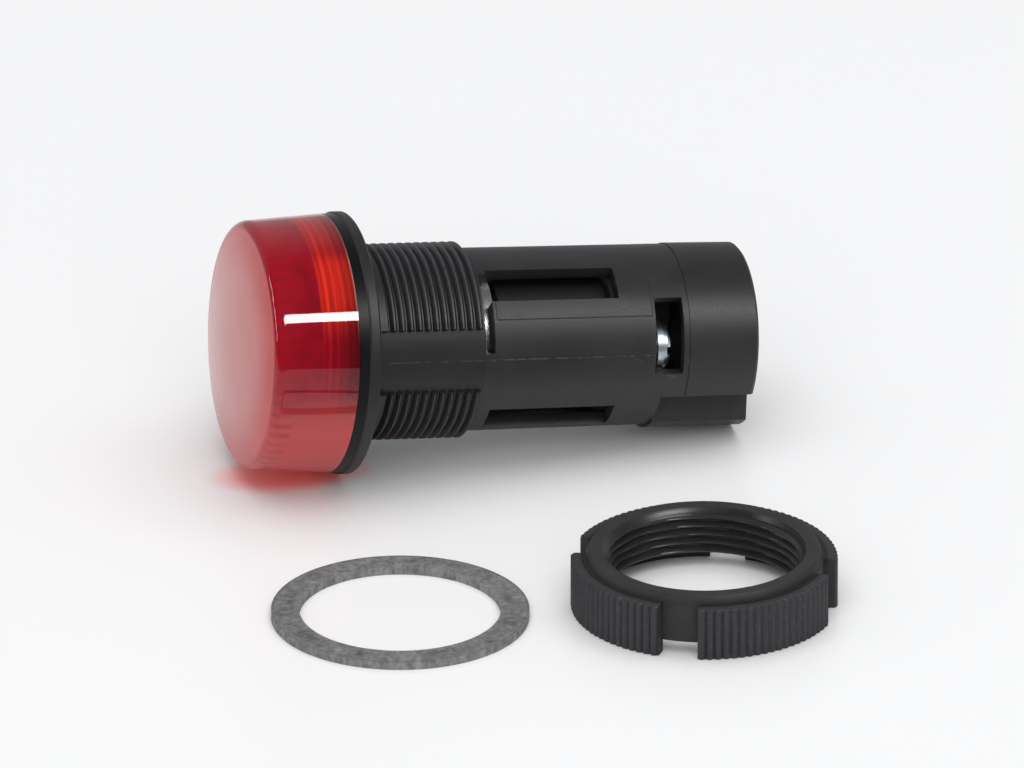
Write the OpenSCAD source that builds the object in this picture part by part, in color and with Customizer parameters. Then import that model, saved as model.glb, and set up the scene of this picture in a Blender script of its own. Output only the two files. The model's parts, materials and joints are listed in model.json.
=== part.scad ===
// Panel pilot light for a 22 mm round panel hole, lying on its side on a table,
// with its ring nut and its panel gasket taken off and laid beside it.
//
// Light axes, used by every light_ module: z runs along the light from the lens to
// the terminals, with z = 0 on the back of the flange, which seats on the panel.
// y points away from the terminal notch, and x crosses the two mould parting lines.
// place_light() leans the light as it rests on the table, about the centre of the
// panel seat, which is the origin. The table is the plane z = table_z.

/* [Light on the table] */
// Turn of the light about its own axis, lifting the parting line
roll_angle = 9.5; // [-20:0.5:20]

/* [Flange and seal] */
// Radius of the flange that covers the panel hole
flange_r = 14.7; // [14:0.1:16]
// Thickness of the flange rim
flange_t = 1.3; // [1:0.1:2]
// Small round on the flange's rim edges
flange_edge = 0.2; // [0.1:0.05:0.4]
// How far the flange stands out past the seal ring and the lens
flange_step = 0.2; // [0.1:0.05:0.4]
// Thickness of the seal ring
seal_t = 1.15; // [0.8:0.05:1.5]

/* [Lens] */
// How much narrower the lens is at its front corner than at the seal
lens_taper = 0.5; // [0:0.1:0.8]
// Length of the lens side, from its back edge to its front corner
lens_len = 9.6; // [8:0.1:12]
// Radius of the round between the lens side and its front
lens_corner = 1.25; // [0.8:0.05:1.6]
// Rise of the domed front above its corner
dome_rise = 1.2; // [0.6:0.1:2]
// Thickness of the lens wall
lens_wall = 1.4; // [1:0.1:1.6]
// Number of light-spreading ribs inside the lens corner
lens_ribs = 60; // [24:1:90]
// Width of a light-spreading rib
lens_rib_w = 0.5; // [0.3:0.05:0.7]
// Length of a light-spreading rib
lens_rib_len = 1.6; // [1:0.1:3]
// Depth of a light-spreading rib
lens_rib_depth = 0.5; // [0.3:0.05:0.8]

/* [Threaded barrel] */
// Radius of the barrel over its thread, for a 22 mm hole
thread_r = 11.0; // [10.8:0.05:11.1]
// Depth of the barrel thread
thread_depth = 0.58; // [0.4:0.02:0.65]
// Pitch of the barrel thread
thread_pitch = 1.0; // [0.8:0.1:1.5]
// Plain neck between the flange and the thread
neck_len = 2.2; // [1:0.1:3]
// Length of the threaded barrel behind the panel seat
barrel_len = 13.4; // [11:0.1:16]
// Half angle of the plain strip along each parting line
strip_half = 19.4; // [12:0.1:20]
// Distance from the panel seat to the start of the plain strips
strip_z = 1.1; // [0.8:0.1:1.6]
// Height of the parting seam
seam_h = 0.08; // [0.05:0.01:0.15]

/* [Lens collar] */
// Length of the collar that the lens screws onto
collar_len = 4.6; // [3:0.1:6]
// How far the flange stands out past the lens collar
collar_step = 1.7; // [1.6:0.05:2]
// Running clearance between the lens and its collar
lens_clear = 0.1; // [0.05:0.01:0.15]

/* [Rear tube] */
// Radius of the rear tube at the barrel
tube_r = 10.25; // [10:0.05:10.4]
// Moulding draft over the length of the rear tube
tube_draft = 0.15; // [0:0.05:0.3]
// Wall of the rear tube
tube_wall = 1.45; // [1.2:0.05:1.6]
// Distance from the panel seat to the joint with the rear cap
tube_end = 37.4; // [36.5:0.1:39]
// Wall at the front of the cooling windows
window_bar = 1.4; // [1.2:0.1:3]
// Length of the cooling windows
window_len = 14.6; // [10:0.1:14.8]
// Angle from the parting line to the middle of a cooling window
window_mid = 49.5; // [45:0.5:53]
// Angular width of a cooling window
window_span = 24; // [16:0.5:28]
// Width of the vent slot between barrel and tube
vent_w = 1.15; // [0.8:0.05:1.3]
// Angle above the parting line at which the vent slot starts
vent_start = 4; // [2:0.5:10]

/* [Terminals] */
// Distance from the panel seat to the front of the wire windows
wire_z = 33.4; // [33:0.1:33.6]
// Length of the wire windows along the light
wire_len = 3.3; // [3:0.1:3.4]
// Angle of the wire windows above the parting line
wire_up = 37; // [30:0.5:42]
// Angle of the wire windows below the parting line
wire_down = 13; // [12.5:0.5:20]
// Distance of a terminal screw from the middle of the light
screw_x = 5.75; // [5.7:0.05:5.8]
// Radius of the terminal screw's thread, M3.5
screw_r = 1.75; // [1.5:0.05:1.8]
// Clearance round the terminal screw's thread
screw_clear = 0.05; // [0.03:0.01:0.1]
// Radius of the terminal screw's head
screw_head_r = 2.6; // [2.3:0.05:2.8]
// Height of the terminal screw's head
screw_head_h = 0.9; // [0.8:0.1:1.4]
// Radius of the clamp washer
clamp_r = 3.0; // [2.7:0.05:3.02]
// Thickness of the clamp washer
clamp_t = 0.7; // [0.6:0.05:1]
// Gap under the clamp washer
clamp_gap = 0.3; // [0.2:0.05:0.5]
// Thickness of the terminal strips
strip_t = 0.8; // [0.6:0.05:1]

/* [Rear cap and block] */
// Distance from the panel seat to the back of the rear cap
cap_end = 45.5; // [44.5:0.1:47]
// Radius of the rear cap at its joint with the tube
cap_r = 10.2; // [10.15:0.05:10.4]
// Radius of the screwdriver holes in the rear cap
driver_r = 3.2; // [3.05:0.05:3.3]
// Depth below the axis at which the notch starts
notch_y = 5.2; // [4.8:0.1:5.6]
// Distance from the panel seat to the front of the notch
notch_z = 34.6; // [34.2:0.1:35.5]
// Half width of the terminal block in the notch
block_half = 5.6; // [5:0.1:6]
// Radius of the terminal block's rounded underside
block_r = 10.45; // [10.3:0.05:10.6]

/* [Lamp] */
// Radius of the lamp's metal base
lamp_base_r = 4.6; // [4.4:0.05:4.7]
// Radius of the lamp's glass
lamp_glass_r = 4.3; // [4:0.1:4.5]
// Radius of the shiny sleeve round the lamp
sleeve_r = 8.5; // [8.2:0.05:8.6]
// Wall of the sleeve
sleeve_wall = 0.4; // [0.3:0.05:0.5]

/* [Ring nut] */
// Radius of the nut over its ridges
nut_r = 14.8; // [14.2:0.1:15.5]
// Height of the ridged skirt
nut_skirt_h = 6.0; // [5:0.1:7]
// Rise of the collar above the skirt
nut_collar_h = 0.9; // [0.5:0.1:1.5]
// Radius of the threaded ring
nut_ring_r = 13.2; // [12.6:0.1:13.6]
// Gap between the table and the threaded ring
nut_lift = 1.4; // [0.8:0.1:2]
// Radius of the hole over its thread crests
nut_hole_r = 10.5; // [10.4:0.05:10.7]
// Number of grip ridges round the nut
nut_ridges = 100; // [60:4:120]
// Depth of the grip ridges
nut_ridge_depth = 0.28; // [0.15:0.01:0.4]
// Angular width of the spanner notches
nut_notch_span = 17.5; // [12:0.5:24]

/* [Gasket] */
// Radius of the hole in the panel gasket
gasket_hole_r = 11.15; // [11.1:0.05:11.6]
// Width of the gasket from its hole to its rim
gasket_width = 3.15; // [2.2:0.05:3.8]
// Thickness of the panel gasket
gasket_t = 0.9; // [0.7:0.05:1.5]

/* [Hidden] */
$fn = 96;
cut = 1;                                     // how far a cutter runs past a face

// Radii that follow the flange
seal_r = flange_r - flange_step;
lens_skirt_r = flange_r - flange_step;
lens_front_r = lens_skirt_r - lens_taper;
collar_r = flange_r - collar_step;

// Rim of the gasket
gasket_r = gasket_hole_r + gasket_width;

// Places along the light
flange_front = -flange_t;
seal_front = flange_front - seal_t;
lens_gap = 0.05;
lens_back = seal_front - lens_gap;
lens_corner_z = lens_back - lens_len + lens_corner;
lens_face_z = lens_corner_z - lens_corner;
collar_front = lens_back - collar_len;
root_r = thread_r - thread_depth;
vent_end = barrel_len + vent_w;
window_z = barrel_len + window_bar;
vent_stop = 3;
seam_angle = 0.7;
strip_r = root_r - 0.05;
thread_turns = floor((barrel_len - neck_len) / thread_pitch);
tube_bore_r = tube_r - tube_wall;
sleeve_seat = 0.05;
front_bore_r = sleeve_r + sleeve_seat;

// Places of the terminals
plate_front = wire_z - 0.4;
plate_back = plate_front + strip_t;
clamp_z = plate_back + clamp_gap;
head_z = clamp_z + clamp_t;
block_front = 29;
block_z = plate_front;
block_fit = 0.1;
block_end = cap_end + 0.2;

// The light rests on its flange rim and on the block's back edge
tilt_angle = atan((flange_r - block_r) / block_end);
table_z = -flange_r * cos(tilt_angle);

// Where the loose pieces lie on the table
nut_place = [27.6, -48.3];
nut_turn = -28.2;
gasket_place = [-5.5, -41.8];

module place_light() {
    rotate([0, tilt_angle, 0]) rotate([90, 0, 90]) rotate([0, 0, -roll_angle]) children();
}

module both_sides() {
    children();
    mirror([1, 0, 0]) children();
}

// A ring or a sector of one, from z0 to z1
module tube_piece(r_in, r_out, z0, z1) {
    rotate_extrude() translate([r_in, z0]) square([r_out - r_in, z1 - z0]);
}

module sector(r_in, r_out, z0, z1, from, to) {
    rotate([0, 0, from]) rotate_extrude(angle = to - from)
        translate([r_in, z0]) square([r_out - r_in, z1 - z0]);
}

// Lens: a cup with a domed front, a round corner, ribs inside the corner, and a
// smooth bore that runs over the collar
module lens_outline(inset) {
    side_r = lens_front_r - inset;
    skirt_r = lens_skirt_r - inset;
    corner = lens_corner - inset / 2;
    centre = [side_r - corner, lens_corner_z + inset / 2];
    rise = dome_rise;
    edge_r = centre[0];
    ball = (edge_r * edge_r + rise * rise) / (2 * rise);
    union() {
        translate(centre) circle(r = corner);
        polygon([[0, centre[1]], [side_r, centre[1]], [skirt_r, lens_back],
            [0, lens_back]]);
        translate([0, centre[1] - corner]) square([edge_r, corner]);
        intersection() {
            translate([0, centre[1] - corner - rise + ball]) circle(r = ball, $fn = 360);
            translate([0, centre[1] - corner - rise]) square([edge_r, rise]);
        }
    }
}

module light_lens() {
    bore_r = collar_r + lens_clear;
    color([0.8, 0.05, 0.05]) union() {
        rotate_extrude() difference() {
            lens_outline(0);
            lens_outline(lens_wall);
            translate([0, collar_front - 0.4]) square([bore_r, collar_len + cut]);
        }
        for (i = [0 : lens_ribs - 1]) rotate([0, 0, i * 360 / lens_ribs])
            translate([lens_front_r - lens_wall - lens_rib_depth, -lens_rib_w / 2,
                lens_corner_z])
                cube([lens_rib_depth + 0.2, lens_rib_w, lens_rib_len]);
    }
}

module light_seal() {
    color([0.05, 0.05, 0.05])
        tube_piece(collar_r + lens_clear, seal_r, seal_front, flange_front);
}

// Housing: lens collar, flange, neck, threaded barrel and rear tube in one moulding
module housing_outline() {
    polygon([
        [front_bore_r, collar_front], [collar_r - 0.3, collar_front],
        [collar_r, collar_front + 0.3], [collar_r, flange_front],
        [flange_r - flange_edge, flange_front], [flange_r, flange_front + flange_edge],
        [flange_r, -flange_edge], [flange_r - flange_edge, 0],
        [thread_r, 0], [thread_r, neck_len - thread_depth / 2], [root_r, neck_len],
        [root_r, barrel_len], [tube_r, barrel_len], [tube_r, vent_end],
        [tube_r - tube_draft, tube_end], [tube_bore_r, tube_end],
        [tube_bore_r, vent_end + 1.5], [front_bore_r, vent_end + 0.9]
    ]);
}

module thread_rings() {
    crest = 0.16 * thread_pitch;
    base = 0.86 * thread_pitch;
    for (i = [0 : thread_turns - 1]) {
        mid = neck_len + (i + 0.5) * thread_pitch;
        rotate_extrude() polygon([[root_r - 0.2, mid - base / 2],
            [root_r, mid - base / 2], [thread_r, mid - crest / 2],
            [thread_r, mid + crest / 2], [root_r, mid + base / 2],
            [root_r - 0.2, mid + base / 2]]);
    }
}

module housing_windows() {
    half = window_span / 2;
    both_sides() {
        sector(tube_bore_r - cut, tube_r + cut, window_z, window_z + window_len,
            -window_mid - half, -window_mid + half);
        // The upper window opens into the vent slot
        sector(tube_bore_r - cut, tube_r + cut, vent_end - 0.1, window_z + window_len,
            window_mid - half, window_mid + half);
        sector(front_bore_r - cut, thread_r + cut, barrel_len, vent_end,
            vent_start, window_mid + half - vent_stop);
        sector(tube_bore_r - cut, tube_r + cut, wire_z, wire_z + wire_len,
            -wire_down, wire_up);
    }
}

// Raised seams along the two mould parting lines, r0 and r1 high at their ends
module parting_seam(z0, z1, r0, r1) {
    both_sides() rotate([0, 0, -seam_angle / 2]) rotate_extrude(angle = seam_angle)
        polygon([[r0 - 0.2, z0], [r0 + seam_h, z0], [r1 + seam_h, z1], [r1 - 0.2, z1]]);
}

module light_housing() {
    color([0.13, 0.13, 0.14]) difference() {
        union() {
            rotate_extrude() housing_outline();
            difference() {
                thread_rings();
                both_sides() sector(root_r - 0.5, thread_r + cut, 0, barrel_len + cut,
                    -strip_half, strip_half);
            }
            parting_seam(strip_z - 0.2, barrel_len - 0.15, strip_r, strip_r);
            parting_seam(vent_end + 0.3, wire_z + cut, tube_r, tube_r - tube_draft);
        }
        housing_windows();
        both_sides() sector(strip_r, thread_r + cut, strip_z, barrel_len + cut,
            -strip_half - 0.4, strip_half + 0.4);
        // The tube's underside stops at the notch
        translate([-tube_r - cut, -tube_r - cut, notch_z])
            cube([2 * (tube_r + cut), tube_r + cut - notch_y, tube_end - notch_z + cut]);
    }
}

// Metal sleeve that shields the housing from the lamp; it shows through the vent slot
sleeve_back = barrel_len + 1.75;
module light_sleeve() {
    color([0.8, 0.8, 0.82])
        tube_piece(sleeve_r - sleeve_wall, sleeve_r, collar_front, sleeve_back);
}

// Lamp socket: a black sleeve on the terminal block, with the metal shell inside it
socket_r = 7.0;
socket_wall = 1.6;
socket_z = 16.4;
shell_r = socket_r - socket_wall;
shell_wall = 0.4;
shell_z = 17;
floor_t = 1.0;
shell_floor_z = block_front - floor_t;
leg_x = 2.9;
leg_t = 0.6;
leg_half = 1.5;

module leg_slots(z0, z1, room) {
    both_sides() translate([leg_x - room, -leg_half - room, z0])
        cube([leg_t + 2 * room, 2 * (leg_half + room), z1 - z0]);
}

module light_socket() {
    color([0.07, 0.07, 0.07]) difference() {
        rotate_extrude() polygon([[shell_r, socket_z], [socket_r, socket_z],
            [socket_r, block_front], [contact_stem_r + 0.1, block_front],
            [contact_stem_r + 0.1, shell_floor_z], [shell_r, shell_floor_z]]);
        leg_slots(shell_floor_z - cut, block_front + cut, block_fit);
    }
}

// Bayonet shell with two hooked slots for the lamp's pins
pin_z = 22.2;
pin_r = 0.6;
pin_slot = 1.5;
slot_half = asin(pin_slot / 2 / shell_r) + 1;
module light_shell() {
    color([0.75, 0.76, 0.78]) difference() {
        union() {
            tube_piece(shell_r - shell_wall, shell_r, shell_z, shell_floor_z);
            tube_piece(2.6, shell_r - shell_wall / 2, shell_floor_z - shell_wall,
                shell_floor_z);
        }
        for (turn = [0, 180]) rotate([0, 0, 90 + turn]) {
            sector(shell_r - cut, shell_r + cut, pin_z - pin_slot / 2,
                pin_z + pin_slot / 2 + 0.2, -slot_half, 2 * slot_half);
            sector(shell_r - cut, shell_r + cut, shell_z - cut,
                pin_z + pin_slot / 2, slot_half, 3 * slot_half);
        }
    }
}

// Bayonet lamp: base with pins, insulator with its solder tip, glass and filament
base_front = 12.4;
base_back = 25;
base_wall = 0.4;
glass_tip = -1.4;
module light_lamp_base() {
    color([0.72, 0.73, 0.75]) difference() {
        union() {
            tube_piece(lamp_base_r - base_wall, lamp_base_r, base_front, base_back);
            rotate([90, 0, 0]) translate([0, pin_z, 0])
                cylinder(r = pin_r, h = 2 * (shell_r - 0.1), center = true);
        }
        translate([0, 0, base_front]) cylinder(r = lamp_base_r - base_wall,
            h = base_back - base_front);
    }
}

tip_h = 0.5;
module light_lamp_insulator() {
    disc_t = 0.6;
    disc_r = lamp_base_r - base_wall;
    color([0.1, 0.1, 0.12]) union() {
        translate([0, 0, base_back - disc_t]) cylinder(r = disc_r, h = disc_t);
        translate([0, 0, base_back])
            cylinder(r1 = disc_r * 0.81, r2 = disc_r * 0.38, h = tip_h);
    }
}

glass_wall = 0.5;
glass_len = 5;
glass_neck_r = lamp_base_r - 0.7;
module light_glass() {
    ball_z = glass_tip + lamp_glass_r;
    neck_z = ball_z + glass_len;
    color([0.85, 0.87, 0.9, 0.5]) difference() {
        union() {
            translate([0, 0, ball_z]) sphere(r = lamp_glass_r);
            translate([0, 0, ball_z]) cylinder(r = lamp_glass_r, h = glass_len);
            translate([0, 0, neck_z])
                cylinder(r1 = lamp_glass_r, r2 = glass_neck_r, h = 1);
            translate([0, 0, neck_z]) cylinder(r = glass_neck_r,
                h = base_front + 3 - neck_z);
        }
        translate([0, 0, ball_z]) sphere(r = lamp_glass_r - glass_wall);
        translate([0, 0, ball_z])
            cylinder(r = lamp_glass_r - glass_wall, h = glass_len);
    }
}

// Two support wires that stand in the glass and the filament between them
module light_filament() {
    wire_r = 0.18;
    coil_r = 0.12;
    reach = 1.6;
    foot_z = glass_tip + lamp_glass_r + glass_len;
    top_z = glass_tip + 4.2;
    color([0.5, 0.5, 0.52]) union() {
        for (side = [-1, 1]) translate([side * reach, 0, top_z - wire_r])
            cylinder(r = wire_r, h = foot_z - top_z);
        translate([0, 0, top_z + wire_r]) rotate([0, 90, 0])
            cylinder(r = coil_r, h = 2 * reach, center = true);
    }
}

// Button under the lamp's tip, on a stem that reaches the second terminal strip
contact_stem_r = 0.9;
contact_z = base_back + tip_h;
module light_contact() {
    color([0.8, 0.65, 0.3]) union() {
        translate([0, 0, contact_z]) cylinder(r = 1.7, h = 0.6);
        translate([0, 0, contact_z]) cylinder(r = contact_stem_r,
            h = block_front - contact_z);
    }
}

// Terminal strips: a leg from the socket and a plate under the clamp washer.
// The second has a bridge to the centre contact.
plate_half = 2.4;
bridge_reach = 1.2;
module terminal_strip(bridge) {
    foot_z = bridge ? block_front : shell_floor_z;
    plate_len = screw_x - leg_x + screw_r + 0.15;
    color([0.78, 0.7, 0.45]) difference() {
        union() {
            translate([leg_x, -leg_half, foot_z])
                cube([leg_t, 2 * leg_half, plate_back - foot_z]);
            translate([leg_x, -plate_half, plate_front])
                cube([plate_len, 2 * plate_half, strip_t]);
            if (bridge) translate([-bridge_reach, -leg_half, block_front])
                cube([leg_x + leg_t + bridge_reach, 2 * leg_half, leg_t]);
        }
        translate([screw_x, 0, plate_front - cut])
            cylinder(r = screw_r + screw_clear, h = strip_t + 2 * cut);
    }
}

module light_strip_1() mirror([1, 0, 0]) terminal_strip(false);
module light_strip_2() terminal_strip(true);

// Terminal block: disc behind the socket, barrier between the two terminals, and
// the rounded underside that shows in the notch
module light_block() {
    disc_r = tube_bore_r - tube_draft - block_fit;
    barrier_half = 1.6;
    color([0.1, 0.1, 0.11]) difference() {
        union() {
            translate([0, 0, block_front]) cylinder(r = disc_r, h = block_z - block_front);
            intersection() {
                translate([-barrier_half, -disc_r, block_z - cut])
                    cube([2 * barrier_half, 2 * disc_r, tube_end - block_z + cut]);
                cylinder(r = disc_r, h = tube_end);
            }
            intersection() {
                translate([-block_half, -block_r - cut, notch_z])
                    cube([2 * block_half, block_r + cut - notch_y, block_end - notch_z]);
                cylinder(r = block_r, h = block_end);
            }
        }
        leg_slots(block_front - cut, block_z + cut, block_fit);
        both_sides() translate([screw_x, 0, block_front + 0.8])
            cylinder(r = screw_r + 0.2, h = block_z);
        // Seat for the bridge of the second strip
        translate([-bridge_reach - block_fit, -leg_half - block_fit, block_front - cut])
            cube([leg_x + bridge_reach + 2 * block_fit, 2 * (leg_half + block_fit),
                cut + leg_t + block_fit]);
    }
}

module clamp_washer() {
    color([0.75, 0.77, 0.8])
        translate([screw_x, 0, 0]) tube_piece(screw_r + 0.1, clamp_r, clamp_z, head_z);
}

module terminal_screw() {
    shank_z = block_front + 1.2;
    head_top = head_z + screw_head_h;
    bevel = 0.4;
    slot_w = 0.8;
    slot_depth = 0.5;
    cross_len = 3;
    cross_depth = 1.3;
    color([0.7, 0.75, 0.8]) translate([screw_x, 0, 0]) difference() {
        union() {
            translate([0, 0, shank_z]) cylinder(r = screw_r, h = head_z - shank_z);
            translate([0, 0, head_z]) cylinder(r = screw_head_r, h = screw_head_h - bevel);
            translate([0, 0, head_top - bevel])
                cylinder(r1 = screw_head_r, r2 = screw_head_r - bevel, h = bevel);
        }
        translate([-screw_head_r - cut, -slot_w / 2, head_top - slot_depth])
            cube([2 * (screw_head_r + cut), slot_w, cut]);
        for (turn = [0, 90]) rotate([0, 0, turn])
            translate([-cross_len / 2, -slot_w / 2, head_top - cross_depth])
                cube([cross_len, slot_w, cut + cross_depth]);
    }
}

// Rear cap: closes the terminals, with a screwdriver hole behind each screw
module light_cap() {
    corner = 0.3;
    end_r = cap_r - 0.12;
    color([0.13, 0.13, 0.14]) difference() {
        rotate_extrude() polygon([[0, tube_end], [cap_r, tube_end],
            [end_r, cap_end - corner], [end_r - corner, cap_end], [0, cap_end]]);
        both_sides() translate([screw_x, 0, tube_end - cut])
            cylinder(r = driver_r, h = cap_end - tube_end + 2 * cut);
        translate([-cap_r - cut, -cap_r - cut, tube_end - cut])
            cube([2 * (cap_r + cut), cap_r + cut - notch_y, cap_end - tube_end + 2 * cut]);
    }
}

// Ring nut, lying with its collar up
module nut_skirt_outline() {
    steps = nut_ridges * 2;
    polygon([for (i = [0 : steps - 1])
        let (r = nut_r - (i % 2) * nut_ridge_depth, turn = i * 360 / steps)
        [r * cos(turn), r * sin(turn)]]);
}

module mounting_nut() {
    ring_top = nut_skirt_h + nut_collar_h;
    color([0.12, 0.12, 0.12]) translate([nut_place[0], nut_place[1], table_z])
        rotate([0, 0, nut_turn]) difference() {
            union() {
                difference() {
                    linear_extrude(nut_skirt_h) nut_skirt_outline();
                    cylinder(r = nut_ring_r - 0.3, h = 3 * nut_skirt_h, center = true);
                    for (turn = [0 : 90 : 270])
                        sector(nut_ring_r - 0.5, nut_r + cut, -cut, nut_skirt_h + cut,
                            turn - nut_notch_span / 2, turn + nut_notch_span / 2);
                }
                translate([0, 0, nut_lift])
                    cylinder(r = nut_ring_r, h = nut_skirt_h - nut_lift);
                translate([0, 0, nut_skirt_h])
                    cylinder(r1 = nut_ring_r - 0.1, r2 = nut_ring_r - 0.4, h = nut_collar_h);
            }
            translate([0, 0, -cut]) cylinder(r = nut_hole_r, h = ring_top + 2 * cut);
            translate([0, 0, ring_top - 0.7])
                cylinder(r1 = nut_hole_r, r2 = nut_hole_r + 0.75, h = 0.75);
        }
}

module panel_gasket() {
    color([0.4, 0.4, 0.41]) translate([gasket_place[0], gasket_place[1], table_z])
        tube_piece(gasket_hole_r, gasket_r, 0, gasket_t);
}

place_light() light_lens();  // lens
place_light() light_seal();  // lens_seal
place_light() light_housing();  // housing
place_light() light_sleeve();  // heat_sleeve
place_light() light_socket();  // lamp_socket
place_light() light_shell();  // socket_shell
place_light() light_lamp_base();  // lamp_base
place_light() light_lamp_insulator();  // lamp_insulator
place_light() light_glass();  // lamp_glass
place_light() light_filament();  // lamp_filament
place_light() light_contact();  // centre_contact
place_light() light_block();  // terminal_block
place_light() light_strip_1();  // terminal_strip_1
place_light() light_strip_2();  // terminal_strip_2
place_light() mirror([1, 0, 0]) clamp_washer();  // clamp_washer_1
place_light() clamp_washer();  // clamp_washer_2
place_light() mirror([1, 0, 0]) terminal_screw();  // terminal_screw_1
place_light() terminal_screw();  // terminal_screw_2
place_light() light_cap();  // rear_cap
mounting_nut();
panel_gasket();
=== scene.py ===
"""Looks of the panel pilot light: finishes, detailed loose parts, table, lamps and camera.

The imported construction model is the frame. The light's own axes are used by most finishes:
`along` runs from the lens to the terminals with 0 on the panel seat, `across` crosses the
two parting lines and `up` points away from the terminal notch.
"""

import json
import logging
import math
from dataclasses import dataclass, field
from enum import Enum
from typing import Any

import bmesh
import bpy
import numpy as np
from mathutils import Matrix, Vector


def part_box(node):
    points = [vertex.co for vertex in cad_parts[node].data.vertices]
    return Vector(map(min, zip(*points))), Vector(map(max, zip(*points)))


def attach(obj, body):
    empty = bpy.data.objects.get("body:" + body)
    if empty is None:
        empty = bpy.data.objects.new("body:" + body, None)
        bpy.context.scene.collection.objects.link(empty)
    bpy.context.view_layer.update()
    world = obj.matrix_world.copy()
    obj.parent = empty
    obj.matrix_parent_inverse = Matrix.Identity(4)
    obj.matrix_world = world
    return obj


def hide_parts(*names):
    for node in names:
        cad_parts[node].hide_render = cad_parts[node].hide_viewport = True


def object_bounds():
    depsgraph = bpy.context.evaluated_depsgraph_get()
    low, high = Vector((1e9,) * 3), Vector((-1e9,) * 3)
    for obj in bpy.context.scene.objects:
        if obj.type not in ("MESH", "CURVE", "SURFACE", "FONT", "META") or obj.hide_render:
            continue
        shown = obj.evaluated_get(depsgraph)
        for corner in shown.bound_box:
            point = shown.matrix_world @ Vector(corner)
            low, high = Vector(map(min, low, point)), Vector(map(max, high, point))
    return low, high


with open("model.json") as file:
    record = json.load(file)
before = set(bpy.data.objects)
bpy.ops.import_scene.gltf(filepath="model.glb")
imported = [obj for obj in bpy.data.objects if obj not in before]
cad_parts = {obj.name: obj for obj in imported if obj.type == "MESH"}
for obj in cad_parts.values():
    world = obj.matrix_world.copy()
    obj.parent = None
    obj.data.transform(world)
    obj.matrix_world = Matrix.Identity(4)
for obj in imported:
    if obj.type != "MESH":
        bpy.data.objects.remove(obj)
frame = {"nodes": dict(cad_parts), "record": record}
CAD_BOX = [list(corner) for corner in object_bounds()]

log = logging.getLogger("pilot_light")
MM = 0.001
ROLL = math.radians(9.5)
POINT = {"vector_type": "POINT"}
BLACK = (0.0, 0.0, 0.0, 1.0)

Span = tuple[float, float]
Tone = tuple[float, float, float]


class Body(Enum):
    """Bodies of the moving model that the made pieces ride on."""

    LIGHT = "light"
    LENS = "lens"


# ---------------------------------------------------------------- shader expressions


@dataclass(frozen=True)
class Sock:
    """One output of a node, usable in Python arithmetic."""

    graph: "Graph"
    link: Any

    def _math(self, operation: str, *values: Any) -> "Sock":
        """Adds a Math node of that operation on this value and the others."""
        return self.graph.node("ShaderNodeMath", {"operation": operation}, dict(enumerate(values)))

    def __add__(self, other: Any) -> "Sock":
        """Sum."""
        return self._math("ADD", self, other)

    __radd__ = __add__

    def __sub__(self, other: Any) -> "Sock":
        """Difference."""
        return self._math("SUBTRACT", self, other)

    def __rsub__(self, other: Any) -> "Sock":
        """Difference, reflected."""
        return self._math("SUBTRACT", other, self)

    def __mul__(self, other: Any) -> "Sock":
        """Product."""
        return self._math("MULTIPLY", self, other)

    __rmul__ = __mul__

    def __truediv__(self, other: Any) -> "Sock":
        """Quotient."""
        return self._math("DIVIDE", self, other)

    def __rtruediv__(self, other: Any) -> "Sock":
        """Quotient, reflected."""
        return self._math("DIVIDE", other, self)

    def __neg__(self) -> "Sock":
        """Negative."""
        return self._math("MULTIPLY", self, -1.0)

    def size(self) -> "Sock":
        """Absolute value."""
        return self._math("ABSOLUTE", self)

    def root(self) -> "Sock":
        """Square root."""
        return self._math("SQRT", self)

    def turn_from(self, other: "Sock") -> "Sock":
        """Angle of the point (other, this) about the origin."""
        return self._math("ARCTAN2", self, other)

    def wave(self, period: Any) -> "Sock":
        """Triangle wave from 0 to 1 and back over one period."""
        return self._math("PINGPONG", self / period * 2.0, 1.0)

    def step(self, low: float, high: float) -> "Sock":
        """Smooth rise from 0 at low to 1 at high; falls instead if high is below low."""
        settings = {"interpolation_type": "SMOOTHSTEP"}
        if low < high:
            return self.graph.node("ShaderNodeMapRange", settings, {0: self, 1: low, 2: high})
        return self.graph.node(
            "ShaderNodeMapRange", settings, {0: self, 1: high, 2: low, 3: 1.0, 4: 0.0}
        )

    def band(self, low: float, high: float, soft: float) -> "Sock":
        """1 between low and high, with edges that soften over soft."""
        return self.step(low - soft, low + soft) * self.step(high + soft, high - soft)


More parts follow.
